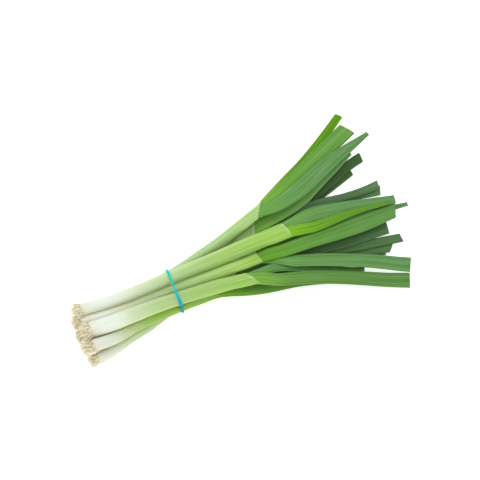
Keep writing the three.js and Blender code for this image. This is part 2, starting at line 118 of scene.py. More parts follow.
def oval_of(points: np.ndarray, x: float) -> Section:
    """The oval that a ring of evenly turned points describes.

    Args:
        points: The ring's (y, z) points, one row each.
        x: Where the section is.

    Returns:
        The section through them.
    """
    centre = points.mean(axis=0)
    spans = (points - centre).T @ (points - centre) / len(points)
    values, axes = np.linalg.eigh(2.0 * spans)
    return Section(x, centre, axes @ np.diag(np.sqrt(np.maximum(values, 0.0))) @ axes.T)


@dataclass(frozen=True)
class Rim:
    """The leaning plane of a cut end: a point on it and its outward normal."""

    point: np.ndarray
    normal: np.ndarray


class Run:
    """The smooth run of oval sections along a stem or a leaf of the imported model."""

    def __init__(self, sections: list[Section]) -> None:
        """Takes the sections in order along X."""
        self.x = np.array([s.x for s in sections])
        rows = [np.r_[s.centre, s.spread[0, 0], s.spread[0, 1], s.spread[1, 1]] for s in sections]
        self.rows = np.array(rows)
        self.slopes = np.gradient(self.rows, self.x, axis=0)

    def at(self, x: float) -> Section:
        """The section at x, on a cubic through the stations and straight beyond them.

        Args:
            x: The place along X.

        Returns:
            The section there.
        """
        inside = min(max(x, self.x[0]), self.x[-1])
        i = int(np.clip(np.searchsorted(self.x, inside) - 1, 0, len(self.x) - 2))
        span = self.x[i + 1] - self.x[i]
        t = (inside - self.x[i]) / span
        row = (
            (2 * t**3 - 3 * t**2 + 1) * self.rows[i]
            + (t**3 - 2 * t**2 + t) * span * self.slopes[i]
            + (3 * t**2 - 2 * t**3) * self.rows[i + 1]
            + (t**3 - t**2) * span * self.slopes[i + 1]
        )
        if x != inside:
            end = 0 if x < inside else -1
            row = row.copy()
            row[:2] += (x - inside) * self.slopes[end][:2]
        return Section(x, row[:2], np.array([[row[2], row[3]], [row[3], row[4]]]))

    @property
    def heading(self) -> np.ndarray:
        """The way that the run points where it ends, one long in X."""
        return np.r_[1.0, self.slopes[-1][:2]]


def solid_points(node: str) -> tuple[np.ndarray, np.ndarray]:
    """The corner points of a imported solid's triangles and the triangles' normals.

    Args:
        node: The node's name.

    Returns:
        An array (triangles, 3, 3) of corners and one (triangles, 3) of unit normals.
    """
    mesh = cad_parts[node].data
    mesh.calc_loop_triangles()
    places = np.empty(len(mesh.vertices) * 3)
    mesh.vertices.foreach_get("co", places)
    corners = np.empty(len(mesh.loop_triangles) * 3, dtype=np.int32)
    mesh.loop_triangles.foreach_get("vertices", corners)
    triangles = places.reshape(-1, 3)[corners].reshape(-1, 3, 3)
    across = np.cross(triangles[:, 1] - triangles[:, 0], triangles[:, 2] - triangles[:, 0])
    return triangles, across / np.maximum(np.linalg.norm(across, axis=1, keepdims=True), 1e-12)


def distinct(points: np.ndarray) -> np.ndarray:
    """The points with their repeats taken out."""
    keys = np.round(points.reshape(-1, 3) / NEAR).astype(np.int64)
    return points.reshape(-1, 3)[np.unique(keys, axis=0, return_index=True)[1]]


def rings_of(points: np.ndarray, count: int) -> list[Section]:
    """The square rings of a known number of points, in order along X."""
    order = points[np.argsort(points[:, 0])]
    groups = np.split(order, np.where(np.diff(order[:, 0]) > NEAR)[0] + 1)
    return [oval_of(g[:, 1:], float(g[:, 0].mean())) for g in groups if len(g) == count]


def stem_run(node: str) -> Run:
    """Reads a stem's sections from its solid."""
    triangles, _ = solid_points(node)
    return Run(rings_of(distinct(triangles), Stem.SOLID_SIDES))


def leaf_run(node: str) -> tuple[Run, Rim]:
    """Reads a leaf's sections and the plane of its cut end from its solid.

    Args:
        node: The leaf's node.

    Returns:
        The run of sections, and the rim.
    """
    toward_tip, same_way, flat_by, nowhere = 0.4, 0.999, 2e-5, 1e9
    triangles, normals = solid_points(node)
    middles = triangles.mean(axis=1)
    facing = normals[:, 0] > toward_tip
    last = np.where(facing)[0][np.argmax(middles[facing][:, 0])]
    normal = normals[last]
    level = middles[last] @ normal
    on_rim = np.all(np.abs(triangles @ normal - level) < flat_by, axis=1)
    on_rim &= normals @ normal > same_way
    floor = facing & ~on_rim & (normals[:, 0] > same_way)
    edge = distinct(triangles[on_rim])
    floor_x = triangles[floor][:, :, 0].mean() if floor.any() else nowhere
    inner = np.abs(triangles[:, :, 0] - floor_x) < NEAR
    body = distinct(triangles[~inner])
    rings = [s for s in rings_of(body, Leaf.SOLID_SIDES) if abs(s.x - floor_x) > 2 * NEAR]
    rings = [s for s in rings if s.x < edge[:, 0].min() - NEAR]
    heading = rings[-1].centre - rings[-2].centre
    heading = heading / (rings[-1].x - rings[-2].x)
    end = float(edge[:, 0].mean())
    flat = edge[:, 1:] - (edge[:, :1] - end) * heading
    rough = oval_of(flat, end)
    away = np.linalg.norm((flat - rough.centre) @ np.linalg.inv(rough.spread).T, axis=1)
    outer = flat[np.argsort(away)[-Leaf.SOLID_SIDES :]]
    rings.append(oval_of(outer, end))
    return Run(rings), Rim(edge.mean(axis=0), normal)


def hull(points: np.ndarray) -> np.ndarray:
    """The convex outline of flat points, by turning left round them."""
    rows = sorted(map(tuple, points))

    def half(places: list[Pair]) -> list[Pair]:
        chain: list[Pair] = []
        for p in places:
            while len(chain) > 1:
                (ax, ay), (bx, by) = chain[-2], chain[-1]
                if (bx - ax) * (p[1] - ay) - (by - ay) * (p[0] - ax) > 0:
                    break
                chain.pop()
            chain.append(p)
        return chain[:-1]

    return np.array(half(rows) + half(rows[::-1]))


def taut(points: np.ndarray, turns: np.ndarray) -> np.ndarray:
    """How far the convex outline of flat points reaches from the origin.

    Args:
        points: Points around the origin.
        turns: The directions to look in.

    Returns:
        The outline's distance in each direction.
    """
    line = hull(points)
    steps = np.roll(line, -1, axis=0) - line
    outward = np.c_[steps[:, 1], -steps[:, 0]] / np.linalg.norm(steps, axis=1)[:, None]
    level = np.sum(outward * line, axis=1)[:, None]
    facing = outward @ np.array([np.cos(turns), np.sin(turns)])
    least = 1e-6
    return np.where(facing > least, level / np.maximum(facing, least), np.inf).min(axis=0)


# ---- growing a skin


def made_of(bm: bmesh.types.BMesh, name: str, material: Material) -> Object:
    """Makes an object from a bmesh, which it frees.

    Args:
        bm: The bmesh.
        name: The object's name.
        material: Its finish.

    Returns:
        The object, linked to the scene.
    """
    mesh = bpy.data.meshes.new(name)
    bm.to_mesh(mesh)
    bm.free()
    mesh.materials.append(material)
    made = bpy.data.objects.new(name, mesh)
    bpy.context.scene.collection.objects.link(made)
    return made


class Skin:
    """A tube that is grown ring by ring, each ring extruded from the one before."""

    def __init__(self, sides: int) -> None:
        """Starts with one ring of the given number of sides."""
        self.sides = sides
        self.bm = bmesh.new()
        self.turn = self.bm.verts.layers.int.new("turn")
        self.grain = self.bm.verts.layers.float_vector.new(GRAIN)
        self.hollow = self.bm.verts.layers.float.new(HOLLOW)
        self.lip = self.bm.verts.layers.float.new(LIP)
        self.up = self.bm.verts.layers.float.new(UP)
        self.edges: list[BMEdge] = []
        self.verts: list[BMVert] = []

    def begin(self, points: Sequence[Vector], grain: Sequence[Vector]) -> None:
        """Lays the first ring of a new tube in the same mesh."""
        made = bmesh.ops.create_circle(self.bm, segments=self.sides, radius=1.0, cap_ends=False)
        self.verts = made["verts"]
        for turn, vert in enumerate(self.verts):
            vert[self.turn] = turn
        self.edges = list({e for v in self.verts for e in v.link_edges})
        self._place(points, grain)

    def grow(self, points: Sequence[Vector], grain: Sequence[Vector]) -> None:
        """Extrudes the last ring to new points."""
        made = bmesh.ops.extrude_edge_only(self.bm, edges=self.edges)["geom"]
        fresh = [g for g in made if isinstance(g, BMVert)]
        self.edges = [g for g in made if isinstance(g, BMEdge)]
        self.verts = sorted(fresh, key=lambda v: v[self.turn])
        self._place(points, grain)

    def _place(self, points: Sequence[Vector], grain: Sequence[Vector]) -> None:
        """Moves the last ring to its points and notes its grain."""
        for vert in self.verts:
            vert.co = points[vert[self.turn]]
            vert[self.grain] = grain[vert[self.turn]]
            vert[self.up] = math.sin(FULL_TURN * vert[self.turn] / self.sides)

    def lay(self, points: Sequence[Vector], grain: Sequence[Vector]) -> None:
        """Adds a ring to the tube, or starts a new tube with a closed end."""
        if self.edges:
            self.grow(points, grain)
        else:
            self.begin(points, grain)
            self._fill()

    def _fill(self) -> BMFace:
        """Fills the last ring with one face and returns it."""
        return bmesh.ops.contextual_create(self.bm, geom=self.edges)["faces"][0]

    def close(self) -> BMFace:
        """Closes the tube and returns the face that does."""
        face = self._fill()
        self.edges = []
        return face

    def cut(self, rim: Rim) -> BMFace:
        """Cuts off what lies beyond a plane and closes the opening.

        Args:
            rim: The plane of the cut.

        Returns:
            The face that closes it.
        """
        parts = self.bm.verts[:] + self.bm.edges[:] + self.bm.faces[:]
        made = bmesh.ops.bisect_plane(
            self.bm,
            geom=parts,
            dist=1e-7,
            plane_co=Vector(rim.point),
            plane_no=Vector(rim.normal),
            clear_outer=True,
        )
        self.edges = [g for g in made["geom_cut"] if isinstance(g, BMEdge)]
        return self.close()

    def mark_lip(self, rim: Rim, deep: float) -> None:
        """Notes how near each point is to a cut end.

        Args:
            rim: The plane of the cut.
            deep: How far behind it the lip starts.
        """
        for vert in self.bm.verts:
            behind = (Vector(rim.point) - vert.co).dot(Vector(rim.normal))
            vert[self.lip] = 1.0 - min(max(behind / deep, 0.0), 1.0)

    def open_end(
        self, face: BMFace, wall: float, shift: Vector, narrow: float, steps: int = 3
    ) -> None:
        """Turns a closed end into a wall with a hollow behind it.

        Args:
            face: The face that closes the end.
            wall: The wall's thickness.
            shift: From the rim to the hollow's floor.
            narrow: How wide the hollow's floor is, as a share of its mouth.
            steps: Rings between the rim and the floor.
        """
        bmesh.ops.inset_region(self.bm, faces=[face], thickness=wall, use_even_offset=True)
        for vert in face.verts:
            vert[self.hollow] = 1.0
        for _ in range(steps):
            made = bmesh.ops.extrude_face_region(self.bm, geom=[face])["geom"]
            bmesh.ops.delete(self.bm, geom=[face], context="FACES_ONLY")
            face = [g for g in made if isinstance(g, BMFace)][0]
            middle = sum((v.co for v in face.verts), Vector()) / len(face.verts)
            bmesh.ops.translate(self.bm, verts=face.verts[:], vec=shift / steps)
            keep = narrow ** (1.0 / steps)
            for vert in face.verts:
                vert.co = middle + shift / steps + (vert.co - shift / steps - middle) * keep

    def settle(self, name: str, material: Material, slot: Slot, node: str) -> None:
        """Puts the finished piece on the bunch, in place of its solid, and reports it.

        Args:
            name: The piece's name.
            material: Its finish.
            slot: Its material slot.
            node: The node that it stands for.
        """
        bmesh.ops.recalc_face_normals(self.bm, faces=self.bm.faces[:])
        piece = made_of(self.bm, name, material)
        piece.data.shade_smooth()
        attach(piece, BODY)
        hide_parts(node)
        faces = sum(len(p.vertices) - 2 for p in piece.data.polygons)
        LOG.info("%s: %d triangles, slot %s", name, faces, slot.value)


def ease(low: float, high: float, value: float) -> float:
    """A smooth step from 0 at low to 1 at high."""
    t = min(max((value - low) / (high - low), 0.0), 1.0)
    return t * t * (3.0 - 2.0 * t)


# ---- finishes


def tone(colour: Colour, light: float = LIGHT) -> tuple[float, float, float, float]:
    """The linear colour that shows as a display colour (0 to 255) under the studio's light.

    Args:
        colour: The display colour.
        light: How strong the light is.

    Returns:
        The colour that a node takes.
    """

    def line(value: int) -> float:
        v = value / 255.0
        return (v / 12.92 if v <= 0.04045 else ((v + 0.055) / 1.055) ** 2.4) / light

    return (line(colour[0]), line(colour[1]), line(colour[2]), 1.0)


class Bench:
    """The nodes of one material."""

    def __init__(self, name: str) -> None:
        """Starts an empty material with a surface shader."""
        self.material = bpy.data.materials.new(name)
        self.material.use_nodes = True
        self.tree = self.material.node_tree
        self.tree.nodes.clear()
        self.skin = self.add("BsdfPrincipled", {})
        self.add("OutputMaterial", {"Surface": self.skin.outputs["BSDF"]})

    def add(self, kind: str, feeds: Mapping[str | int, object], **values: object) -> Node:
        """Adds a node.

        Args:
            kind: Its type, without the word that all of them start with.
            feeds: What each input gets, by name or number: an output to link, or a value.
            values: Its properties.

        Returns:
            The node.
        """
        node = self.tree.nodes.new("ShaderNode" + kind)
        for name, value in values.items():
            setattr(node, name, value)
        for name, value in feeds.items():
            self.feed(node.inputs[name], value)
        return node

    def feed(self, socket: NodeSocket, value: object) -> None:
        """Links an output to a socket, or sets the socket's value.

        Args:
            socket: The socket.
            value: The output or the value.
        """
        if isinstance(value, NodeSocket):
            self.tree.links.new(value, socket)
        else:
            socket.default_value = value

    def own(self, name: str, output: str = "Fac") -> NodeSocket:
        """One of the values that the skin notes: its grain, its hollow, its lip or its up."""
        node = self.add("Attribute", {}, attribute_type="GEOMETRY", attribute_name=name)
        return node.outputs[output]

    def place(self) -> NodeSocket:
        """The place on the object."""
        return self.add("TexCoord", {}).outputs["Object"]

    def scaled(self, vector: object, by: tuple[float, float, float]) -> NodeSocket:
        """A vector scaled along each of its axes."""
        return self.add("Mapping", {"Vector": vector, "Scale": by}).outputs["Vector"]

    def part(self, vector: object, axis: str) -> NodeSocket:
        """One component of a vector."""
        return self.add("SeparateXYZ", {0: vector}).outputs[axis]

    def reckon(self, kind: str, first: object, second: object) -> NodeSocket:
        """Two values reckoned together, in a way named as the Math node names it."""
        return self.add("Math", {0: first, 1: second}, operation=kind).outputs[0]

    def times(self, first: object, second: object) -> NodeSocket:
        """The product of two values."""
        return self.reckon("MULTIPLY", first, second)

    def plus(self, first: object, second: object) -> NodeSocket:
        """The sum of two values."""
        return self.reckon("ADD", first, second)

    def noise(self, vector: object, scale: float, detail: float = 2.0) -> NodeSocket:
        """Smooth noise from 0 to 1."""
        feeds = {"Vector": vector, "Scale": scale, "Detail": detail}
        return self.add("TexNoise", feeds).outputs["Fac"]

    def strands(
        self, grain: object, across: float, along: float, detail: float = 2.0
    ) -> NodeSocket:
        """Noise drawn out along the grain."""
        return self.noise(self.scaled(grain, (across, across, along)), 1.0, detail)

    def drifted(self, along: object, strands: object, most: float) -> NodeSocket:
        """The place along the grain, shifted by strands so that colours end raggedly."""
        return self.plus(along, self.times(self.reckon("SUBTRACT", strands, 0.5), most))

    def span(self, value: object, low: float, high: float, to: Pair = (0.0, 1.0)) -> NodeSocket:
        """A value taken smoothly from one range to another."""
        feeds = {
            "Value": value,
            "From Min": low,
            "From Max": high,
            "To Min": to[0],
            "To Max": to[1],
        }
        return self.add("MapRange", feeds, interpolation_type="SMOOTHSTEP").outputs["Result"]

    def ramp(self, value: object, stops: Sequence[tuple[float, Colour]]) -> NodeSocket:
        """A colour along a run of stops.

        Args:
            value: The place along it.
            stops: Each stop's place and colour.

        Returns:
            The colour.
        """
        node = self.add("ValToRGB", {"Fac": value})
        line = node.color_ramp
        line.interpolation = "B_SPLINE"
        while len(line.elements) < len(stops):
            line.elements.new(0.5)
        for element, (at, colour) in zip(line.elements, stops):
            element.position = at
            element.color = tone(colour)
        return node.outputs["Color"]

    def mix(self, amount: object, below: object, above: object) -> NodeSocket:
        """One colour laid over another.

        Args:
            amount: How much of the upper one shows.
            below: The lower colour.
            above: The upper colour.

        Returns:
            The colour.
        """
        node = self.add("Mix", {"Factor": amount}, data_type="RGBA")
        for name, value in (("A", below), ("B", above)):
            socket = next(s for s in node.inputs if s.name == name and s.type == "RGBA")
            self.feed(socket, tone(value) if isinstance(value, tuple) else value)
        return next(s for s in node.outputs if s.type == "RGBA")

    def stain(
        self, colour: object, where: object, low: float, high: float, most: float, paint: object
    ) -> NodeSocket:
        """A colour with a paint laid over it, up to a share, as a value goes from low to high."""
        return self.mix(self.span(where, low, high, (0.0, most)), colour, paint)

    def dress(self, colour: object, rough: object, gloss: float) -> None:
        """Gives the surface its colour, its roughness and its gloss.

        Args:
            colour: The base colour.
            rough: The roughness.
            gloss: The specular level.
        """
        self.feed(self.skin.inputs["Base Color"], colour)
        self.feed(self.skin.inputs["Roughness"], rough)
        self.skin.inputs["Specular IOR Level"].default_value = gloss

    def relief(self, height: object, depth: float, strength: float) -> None:
        """Raises the surface's light and shade by a height map."""
        bump = self.add("Bump", {"Height": height, "Distance": depth, "Strength": strength})
        self.feed(self.skin.inputs["Normal"], bump.outputs["Normal"])


@dataclass(frozen=True)
class ShankFinish:
    """The moist skin of a stem: white at the root, green towards the neck, with long fine veins,
    painted crevice shade on its lower side and a painted highlight at its cut lip.
    """

    name: str
    lower: Colour = (202, 214, 180)
    middle: Colour = (170, 201, 126)
    upper: Colour = (152, 192, 90)
    neck: Colour = (146, 190, 74)
    lower_at: float = 0.26
    middle_at: float = 0.50
    upper_at: float = 0.78
    root: Colour = (214, 212, 196)
    white: Colour = (220, 226, 214)
    vein: Colour = (108, 152, 48)
    # low: colours for the stem's lower side, from root to neck. This is painted crevice shade: a
    # yellow-olive tint standing in for the shade between stems and the light glowing through the
    # flesh there.
    low: tuple[Colour, ...] = ((238, 224, 168), (216, 222, 140), (168, 196, 76), (128, 166, 32))
    # rim and rim_most: the pale cut wall and lip of the sheath. This is partly its own pale edge
    # and partly a painted highlight on its upper side.
    rim: Colour = (178, 204, 140)
    rim_most: float = 0.4
    # inside: the darker green of the hollow behind the cut end, which is painted shade in that
    # recess.
    inside: Colour = (104, 150, 50)
    rust: Colour = (196, 140, 78)
    rough: Pair = (0.28, 0.42)
    gloss: float = 0.3
    milky: float = 0.4
    milk: tuple[float, float, float] = (1.0, 1.0, 0.45)
    milk_deep: float = 3.0 * MM

    def material(self) -> Material:
        """Builds the finish."""
        b = Bench(self.name)
        grain = b.own(GRAIN, "Vector")
        along = b.part(grain, "Z")
        stops = [
            (0.0, self.root),
            (0.05, self.white),
            (self.lower_at * 0.55, self.white),
            (self.lower_at, self.lower),
            (self.middle_at, self.middle),
            (self.upper_at, self.upper),
            (1.0, self.neck),
        ]
        colour = b.ramp(b.drifted(along, b.strands(grain, 2.2, 9.0), 0.16), stops)
        # Painted crevice shade: the low colours are laid over the stem's lower side, where it lies
        # against the stems beside and under it.
        low = b.ramp(along, list(zip((0.0, 0.3, 0.6, 1.0), self.low)))
        colour = b.stain(colour, b.own(UP), 0.35, -0.25, 0.85, low)
        broad = b.strands(grain, 5.0, 1.4, 3.0)
        fine = b.strands(grain, 16.0, 2.2, 3.0)
        streaks = b.times(b.span(broad, 0.50, 0.68, (0.0, 0.40)), b.span(along, 0.10, 0.8))
        colour = b.mix(streaks, colour, self.vein)
        greening = b.span(along, 0.05, 0.6, (0.2, 1.0))
        lines = b.times(b.span(fine, 0.48, 0.68, (0.0, 0.30)), greening)
        colour = b.mix(lines, colour, self.vein)
        pale = b.times(b.span(b.strands(grain, 9.0, 1.8), 0.52, 0.70), 0.28)
        colour = b.mix(pale, colour, self.white)
        spots = b.span(b.noise(b.place(), 330.0, 1.0), 0.56, 0.70, (0.0, 0.6))
        at_root = b.span(along, 0.0, 0.02, (1.0, 0.0))
        colour = b.mix(b.times(spots, at_root), colour, self.rust)
        # Painted highlight: the pale lip near the cut end and the pale top of the cut wall are kept
        # to the stem's upper side, where the light falls. The pale edge itself is the sheath's own
        # colour.
        ragged = b.span(b.strands(grain, 1.6, 0.0, 1.0), 0.42, 0.6)
        lips = b.times(b.span(b.own(LIP), 0.2, 0.9, (0.0, self.rim_most)), ragged)
        lit_top = b.span(b.own(UP), 0.3, 0.85)
        colour = b.mix(b.times(lips, lit_top), colour, self.white)
        hollow = b.own(HOLLOW)
        edge = b.mix(lit_top, self.neck, self.rim)
        colour = b.stain(colour, hollow, 0.02, 0.3, 1.0, edge)
        # Painted shade: the hollow's inner wall is darkened to the inside colour.
        colour = b.stain(colour, hollow, 0.7, 0.98, 1.0, self.inside)
        b.dress(colour, b.span(fine, 0.3, 0.7, self.rough), self.gloss)
        b.skin.inputs["Subsurface Weight"].default_value = self.milky
        b.skin.inputs["Subsurface Radius"].default_value = self.milk
        b.skin.inputs["Subsurface Scale"].default_value = self.milk_deep
        b.relief(fine, 0.25 * MM, 0.35)
        return b.material


@dataclass(frozen=True)
class LeafFinish:
    """The waxy skin of a leaf: long parallel veins, darker streaks and a pale bloom."""

    name: str
    slot: Slot
    neck: Colour
    body: Colour
    tip: Colour
    streak: Colour = (52, 98, 28)
    bloom: Colour = (134, 177, 138)
    bloom_most: float = 0.22
    body_at: float = 0.35
    rough: float = 0.42
    gloss: float = 0.15

    def material(self) -> Material:
        """Builds the finish."""
        b = Bench(self.name)
        grain = b.own(GRAIN, "Vector")
        drifted = b.drifted(b.part(grain, "Z"), b.strands(grain, 2.0, 7.0), 0.25)
        colour = b.ramp(drifted, [(0.0, self.neck), (self.body_at, self.body), (0.97, self.tip)])
        broad = b.strands(grain, 3.6, 0.9)
        fine = b.strands(grain, 10.0, 1.3, 3.0)
        lines = b.strands(grain, 34.0, 1.4)
        washes = (
            (broad, 0.52, 0.68, 0.48, self.streak),
            (broad, 0.46, 0.30, 0.24, self.neck),
            (fine, 0.50, 0.66, 0.40, self.streak),
            (fine, 0.46, 0.32, 0.20, self.bloom),
            (lines, 0.52, 0.68, 0.30, self.streak),
            (lines, 0.46, 0.34, 0.20, self.bloom),
        )
        for strands, low, high, most, paint in washes:
            colour = b.stain(colour, strands, low, high, most, paint)
        silver = b.span(b.strands(grain, 9.0, 2.4, 3.0), 0.45, 0.75)
        dust = b.span(b.noise(b.scaled(b.place(), (30.0, 60.0, 60.0)), 1.0, 3.0), 0.35, 0.65)
        colour = b.mix(b.times(b.times(silver, dust), self.bloom_most), colour, self.bloom)
        hollow = b.own(HOLLOW)
        colour = b.stain(colour, hollow, 0.02, 0.4, 0.6, self.neck)
        # Painted shade: the inside of the hollow behind the cut tip is darkened to the streak
        # colour.
        colour = b.stain(colour, hollow, 0.75, 0.98, 0.8, self.streak)
        b.dress(colour, b.span(fine, 0.3, 0.7, (self.rough, self.rough + 0.14)), self.gloss)
        b.relief(b.plus(fine, b.times(broad, 0.6)), 0.35 * MM, 0.45)
        return b.material


@dataclass(frozen=True)
class RootFinish:
    """Dry root hair: cream, with tan and rust-brown threads and dark hollows between them."""

    name: str = "root_hair"
    cream: Colour = (244, 242, 220)
    tan: Colour = (230, 214, 164)
    rust: Colour = (200, 162, 84)

    def material(self) -> Material:
        """Builds the finish. The grain's first value is each thread's own shade."""
        b = Bench(self.name)
        own = b.part(b.own(GRAIN, "Vector"), "X")
        patch = b.noise(b.place(), 160.0, 3.0)
        shade = b.plus(b.times(own, 0.7), b.times(patch, 0.45))
        stops = [(0.10, self.cream), (0.55, self.cream), (0.78, self.tan), (0.96, self.rust)]
        b.dress(b.ramp(shade, stops), 0.72, 0.25)
        b.relief(b.noise(b.place(), 900.0), 0.2 * MM, 0.5)
        return b.material


@dataclass(frozen=True)
class BandFinish:
    """Smooth turquoise rubber, darker at its lower side, greener and paler towards the top and in
    soft patches.
    """

    name: str = "turquoise_rubber"
    low: Colour = (0, 134, 140)
    wide: Colour = (0, 152, 170)
    front: Colour = (0, 180, 194)
    pale_green: Colour = (0, 196, 174)
    # fold: a dark teal for the pinch near the bottom. This is painted shade standing in for a fold
    # that the band's shape does not have.
    fold: Colour = (0, 96, 108)

    def material(self) -> Material:
        """Builds the finish. The grain runs from the lower side up, and marks the pinch where the
        fold's shade is painted.
        """
        b = Bench(self.name)
        grain = b.own(GRAIN, "Vector")
        # Darker at the lower side of the loop, greener and paler towards the top.
        stops = [(0.0, self.low), (0.2, self.wide), (0.5, self.front), (0.9, self.pale_green)]
        colour = b.ramp(b.part(grain, "X"), stops)
        cloud = b.noise(b.place(), 120.0, 3.0)
        colour = b.stain(colour, cloud, 0.45, 0.7, 0.35, self.pale_green)
        # Painted shade where the band is pinched.
        colour = b.mix(b.part(grain, "Y"), colour, self.fold)
        b.dress(colour, b.span(cloud, 0.3, 0.7, (0.45, 0.6)), 0.12)
        b.relief(b.noise(b.place(), 1500.0), 0.1 * MM, 0.25)
        return b.material


@dataclass(frozen=True)
class FloorFinish:
    """A plain white table that is softly lit from below."""

    name: str = "studio_floor"
    paint: Colour = (248, 248, 248)
    glow: float = 0.5

    def material(self) -> Material:
        """Builds the finish."""
        b = Bench(self.name)
        b.dress(tone(self.paint, 1.0), 0.9, 0.1)
        b.skin.inputs["Emission Color"].default_value = (1.0, 1.0, 1.0, 1.0)
        b.skin.inputs["Emission Strength"].default_value = self.glow
        return b.material


Finish = ShankFinish | LeafFinish | RootFinish | BandFinish


@cache
def mixed(finish: Finish) -> Material:
    """The material of a finish, built once."""
    return finish.material()


# ---- stems, leaves, roots and the band


@dataclass
class Leaf:
    """One hollow leaf: a flattened tube with a shallow crease, cut off at its tip."""

    SOLID_SIDES = 10

    stem: int
    number: int
    finish: LeafFinish
    crease: float = 0.10
    crease_at: float = 90.0
    crease_wide: float = 0.42
    flute: float = 0.012
    fill: float = 0.02
    seed: int = 0
    sides: int = 40
    step: float = 2.4 * MM
    sheathed: float = 13.0 * MM
    bury: float = 21.0 * MM
    buried_rings: float = 8.0
    beyond: float = 14 * MM
    above: float = 0.15 * MM
    wall: float = 0.55 * MM
    hollow: float = 8.0 * MM
    narrow: float = 0.8
    run: Run = field(init=False)
    rim: Rim = field(init=False)

    def __post_init__(self) -> None:
        """Reads the leaf's sections."""
        self.run, self.rim = leaf_run(self.node)

    @property
    def node(self) -> str:
        """The node that this leaf stands for."""
        return f"onion_{self.stem}_leaf_{self.number}"

    @property
    def base(self) -> float:
        """Where the leaf starts along X."""
        return float(self.run.x[0])

    def grow_at(self, x: float, angle: float) -> float:
        """How far the skin stands from the plain oval, as a share of it.

        Args:
            x: The place along the leaf.
            angle: The turn round it.

        Returns:
            1 on the plain oval, less in the crease.
        """
        middle = math.radians(self.crease_at) + 0.5 * math.sin(9.0 * x + self.seed)
        off = (angle - middle + math.pi) % FULL_TURN - math.pi
        free = ease(self.base + 5 * MM, self.base + 60 * MM, x)
        groove = self.crease * free * math.exp(-((off / self.crease_wide) ** 2))
        flute = self.flute * free * math.sin(7.0 * angle + 14.0 * x + self.seed)
        return 1.0 + self.fill - groove + flute

    def section_at(self, x: float, stem: Run) -> Section:
        """The leaf's section, narrowed and led along the stem's middle where it is inside.

        Args:
            x: The place along X.
            stem: The run of the stem that it comes out of.

        Returns:
            The section.
        """
        if x >= self.base:
            return self.run.at(x)
        first = self.run.at(self.base)
        depth = ease(self.base - self.sheathed, self.base - self.bury, x)
        off = first.centre - stem.at(self.base).centre
        middle = stem.at(x).centre + off * (1.0 - 0.5 * depth)
        return Section(x, middle, first.spread * (1.0 - 0.45 * depth))

    def build(self, stem: Run) -> None:
        """Makes the leaf, from inside its stem's mouth to its tip.

        Args:
            stem: The run of the stem that it comes out of.
        """
        skin = Skin(self.sides)
        end = float(self.run.x[-1])
        x = self.base - self.bury
        while x < end + self.beyond:
            section = self.section_at(x, stem)
            ring = section.ring(self.sides, x, lambda turn: self.grow_at(x, turn), self.above)
            skin.lay(ring, grain_of(self.sides, self.seed, (x - self.base) / (end - self.base)))
            x += self.step if x >= self.base else self.bury / self.buried_rings
        face = skin.cut(self.rim)
        skin.open_end(face, self.wall, Vector(-self.hollow * self.run.heading), self.narrow)
        name = f"blade_{self.stem}_{self.number}"
        skin.settle(name, mixed(self.finish), self.finish.slot, self.node)


